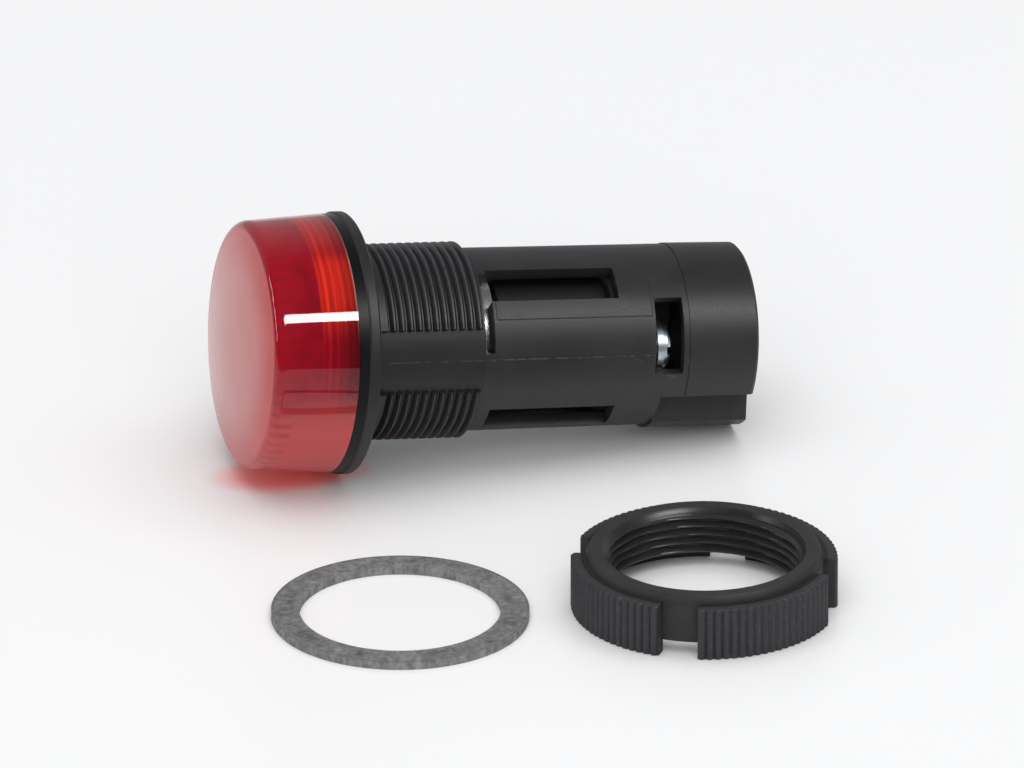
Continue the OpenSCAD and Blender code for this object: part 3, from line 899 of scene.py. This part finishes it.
@dataclass
class RingNut:
    """The ring nut: a threaded ring with four ridged skirt pieces round it.

    Lengths are in millimetres, and heights count from the nut's underside.
    """

    node: bpy.types.Object
    outer: float = 14.78
    skirt: float = 6.0
    collar: float = 0.9
    ring: float = 13.2
    lift: float = 1.4
    crest: float = 10.5
    thread_depth: float = 0.6
    pitch: float = 1.0
    ridges: int = 100
    ridge_depth: float = 0.3
    notch: float = math.radians(17.5)
    turn: float = math.radians(-28.2)
    steps_round: int = 160
    steps_bore: int = 56
    steps_ridge: int = 8

    def threaded_ring(self) -> tuple[np.ndarray, np.ndarray]:
        """The inner ring, a section carried round the axis.

        The section is a closed outline in radius and height. Down the bore its radius is
        the crest plus a triangle wave of height minus pitch times the share of a turn, which
        winds the thread as a helix, and the wave fades out at both mouths.
        """
        top = self.skirt + self.collar
        mouth = 0.75
        outline = np.array(
            [
                [self.crest + 0.6, self.lift],
                [self.ring - 0.12, self.lift],
                [self.ring, self.lift + 0.12],
                [self.ring, self.skirt - 0.05],
                [self.ring - 0.12, self.skirt],
                [self.ring - 0.12, self.skirt + 0.06],
                [self.ring - 0.34, top - 0.14],
                [self.ring - 0.5, top],
                [self.crest + mouth + 0.1, top],
                [self.crest + mouth, top - 0.06],
            ]
        )
        height = np.linspace(top - mouth + 0.02, self.lift + 0.1, self.steps_bore)
        around = np.linspace(0.0, 2 * np.pi, self.steps_round, endpoint=False)
        phase = (height[None, :] - self.pitch * around[:, None] / (2 * np.pi)) / self.pitch
        wave = np.abs(((phase % 1.0) - 0.5) * 2.0)
        wave = np.clip(wave * 1.25 - 0.12, 0.0, 1.0)
        fade = np.clip((top - mouth + 0.3 - height) / 0.35, 0.0, 1.0)
        bore = self.crest + self.thread_depth * (wave * fade)
        rim = np.broadcast_to(outline[None, :, :], (len(around), *outline.shape))
        wall = np.stack([bore, np.broadcast_to(height, bore.shape)], -1)
        section = np.concatenate([rim, wall], axis=1)
        radius, z = section[..., 0], section[..., 1]
        points = np.stack(
            [radius * np.cos(around)[:, None], radius * np.sin(around)[:, None], z], -1
        )
        faces = grid_faces(len(around), section.shape[1], True)
        return points.reshape(-1, 3), faces

    def skirt_piece(self, start: float) -> tuple[np.ndarray, list[list[int]]]:
        """One quarter of the skirt, a section carried along an arc and closed at its ends.

        The outer radius dips by the ridge depth between ridges as a rounded wave of the
        angle, and fades to a plain land at the two ends.

        Args:
            start: Angle of the quarter's first end.

        Returns:
            Points and faces, the two ends being one face each.
        """
        span = np.pi / 2 - self.notch
        steps = round(span / (2 * np.pi / self.ridges)) * self.steps_ridge
        arc = np.linspace(0.0, span, steps + 1)
        wave = np.abs(np.sin(arc * self.ridges / 2))
        dip = self.ridge_depth * (1.0 - wave**0.8)
        peak = self.outer - dip
        inner = np.full_like(arc, self.ring - 0.15)
        bevel = 0.16
        columns = [
            (inner, 0.0),
            (peak - 0.14, 0.0),
            (peak, bevel),
            (peak, self.skirt - bevel),
            (peak - 0.2, self.skirt),
            (inner, self.skirt),
        ]
        radius = np.stack([r for r, _ in columns], 1)
        z = np.broadcast_to(np.array([h for _, h in columns]), radius.shape)
        angle = (start + arc)[:, None]
        points = np.stack([radius * np.cos(angle), radius * np.sin(angle), z], -1)
        faces = grid_faces(len(arc), len(columns), False).tolist()
        last = len(arc) - 1
        faces.append(list(range(len(columns))))
        faces.append([last * len(columns) + i for i in reversed(range(len(columns)))])
        return points.reshape(-1, 3), faces

    def build(self) -> bpy.types.Object:
        """Joins the ring and the four skirt pieces into one mesh that stands for the node."""
        points, faces = self.threaded_ring()
        blocks, corners, count = [points], faces.tolist(), len(points)
        for quarter in range(4):
            piece, piece_faces = self.skirt_piece(quarter * np.pi / 2 + self.notch / 2)
            blocks.append(piece)
            corners += [[i + count for i in face] for face in piece_faces]
            count += len(piece)
        local = np.concatenate(blocks)
        low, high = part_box(self.node.name)
        cos, sin = math.cos(self.turn), math.sin(self.turn)
        placed = np.column_stack(
            [
                (local[:, 0] * cos - local[:, 1] * sin) * MM + (low.x + high.x) / 2,
                (local[:, 0] * sin + local[:, 1] * cos) * MM + (low.y + high.y) / 2,
                local[:, 2] * MM + low.z,
            ]
        )
        nut = mesh_object("ring_nut", placed, corners, True)
        outward(nut)
        nut.data.set_sharp_from_angle(angle=math.radians(35))
        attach(nut, Body.LIGHT.value)
        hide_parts(self.node.name)
        return nut


@dataclass
class LooseParts:
    """The ring nut and the gasket that lie beside the light."""

    nodes: dict[str, bpy.types.Object]

    @staticmethod
    def centre_of(node: str) -> Vector:
        """Middle of a node's box, at its lowest height."""
        low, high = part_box(node)
        return Vector(((low.x + high.x) / 2, (low.y + high.y) / 2, low.z))

    def dress(self) -> list[str]:
        """Builds the nut, and finishes it and the gasket."""
        nut = RingNut(self.nodes["mounting_nut"]).build()
        NutPlastic("nut_plastic", self.centre_of("mounting_nut")).put_on(
            nut, self.nodes["mounting_nut"]
        )
        GasketRubber("gasket_rubber", self.centre_of("panel_gasket")).put_on(
            self.nodes["panel_gasket"]
        )
        return [nut.name, "panel_gasket"]


@dataclass
class Studio:
    """Table, lamps, world and camera."""

    floor_z: float
    floor_half: float = 6.0
    target: Vector = Vector((24.0, 15.46, -14.64)) * MM
    toward: Vector = Vector((-0.2550, -0.8776, 0.4059))
    distance: float = 2.8869
    focal: float = 900.0
    room_light: float = 0.42
    room_seen: float = 0.93

    def build(self) -> None:
        """Makes everything that is not the object."""
        self.table()
        self.lamps()
        self.world()
        self.camera()

    def table(self) -> None:
        """A wide plane under the object."""
        corners = np.array([[-1, -1], [1, -1], [1, 1], [-1, 1]]) * self.floor_half
        points = np.column_stack([corners, np.full(4, self.floor_z)])
        floor = mesh_object("table_top", points, [[0, 1, 2, 3]], False)
        TableTop("table_white").put_on(floor)

    def lamp(
        self,
        name: str,
        at: Vector,
        size: tuple[float, float],
        power: float,
        mirrored: bool,
        turned: float = 0.0,
    ) -> None:
        """Adds a rectangular lamp that faces the object.

        Args:
            name: Its name.
            at: Where it hangs, in metres.
            size: Width and height.
            power: Watts.
            mirrored: Whether it shows only as a reflection, or only lights what is dull.
            turned: Turn about the way it faces, in radians.
        """
        data = bpy.data.lights.new(name, "AREA")
        data.shape = "RECTANGLE"
        data.size, data.size_y = size
        data.energy = power
        lamp = bpy.data.objects.new(name, data)
        bpy.context.scene.collection.objects.link(lamp)
        facing = (Vector((0, 0, 0)) - at).to_track_quat("-Z", "Y").to_matrix().to_4x4()
        lamp.matrix_world = Matrix.Translation(at) @ facing @ Matrix.Rotation(turned, 4, "Z")
        lamp.visible_camera = False
        lamp.visible_glossy = mirrored
        lamp.visible_diffuse = not mirrored

    def lamps(self) -> None:
        """Broad lamps overhead and in front, and two strips that only show in gloss."""
        self.lamp("overhead", Vector((0.1, -0.15, 1.6)), (2.4, 2.0), 21.5, False)
        self.lamp("front_fill", Vector((-0.5, -1.6, 1.0)), (1.8, 1.2), 12.0, False)
        self.lamp("front_strip", Vector((0.58, -1.0, 1.13)), (0.9, 0.2), 14.0, True)
        self.lamp("corner_strip", Vector((-1.28, 0.18, 0.48)), (0.9, 0.045), 3.6, True, -0.5)

    def world(self) -> None:
        """A pale room: nearly white to the camera, darker where gloss reflects it."""
        world = bpy.data.worlds.new("room")
        bpy.context.scene.world = world
        world.use_nodes = True
        g = Graph(world.node_tree)
        gloss = g.node("ShaderNodeLightPath", output="Is Glossy Ray")
        direct = g.node("ShaderNodeLightPath", output="Is Camera Ray")
        _, behind, up = g.split(g.node("ShaderNodeTexCoord", output="Generated"))
        mirrored = behind.step(0.2, 0.8) * 0.4 + up.step(0.3, 0.95) * 0.04 + 0.08
        dull = self.room_light * (1 - gloss) * (1 - direct)
        strength = dull + mirrored * gloss + direct * self.room_seen
        room = g.node(
            "ShaderNodeBackground",
            values={"Color": colour(0.97, 0.98, 1.0), "Strength": strength},
        )
        g.node("ShaderNodeOutputWorld", values={"Surface": room})

    def camera(self) -> None:
        """A long lens, looking down from the front left."""
        data = bpy.data.cameras.new("camera")
        data.sensor_width = 36.0
        data.lens = self.focal
        data.clip_end = 50.0
        camera = bpy.data.objects.new("camera", data)
        bpy.context.scene.collection.objects.link(camera)
        at = self.target + self.toward.normalized() * self.distance
        camera.matrix_world = Matrix.Translation(at) @ (
            (self.target - at).to_track_quat("-Z", "Y").to_matrix().to_4x4()
        )
        bpy.context.scene.camera = camera


def main() -> None:
    """Builds and dresses each sub-assembly, then the studio."""
    logging.basicConfig(level=logging.INFO, format="%(name)s: %(message)s")
    nodes = frame["nodes"]
    axes = LightAxes.from_record(frame["record"])
    light = [Lens(nodes, axes), Shell(nodes, axes), Lamp(nodes), Terminals(nodes)]
    for part in [*light, LooseParts(nodes)]:
        for name in part.dress():
            log.info("%s: %s", type(part).__name__, name)
    Studio(CAD_BOX[0][2]).build()
    bpy.context.scene.view_settings.view_transform = "Standard"


if __name__ == "__main__":
    main()
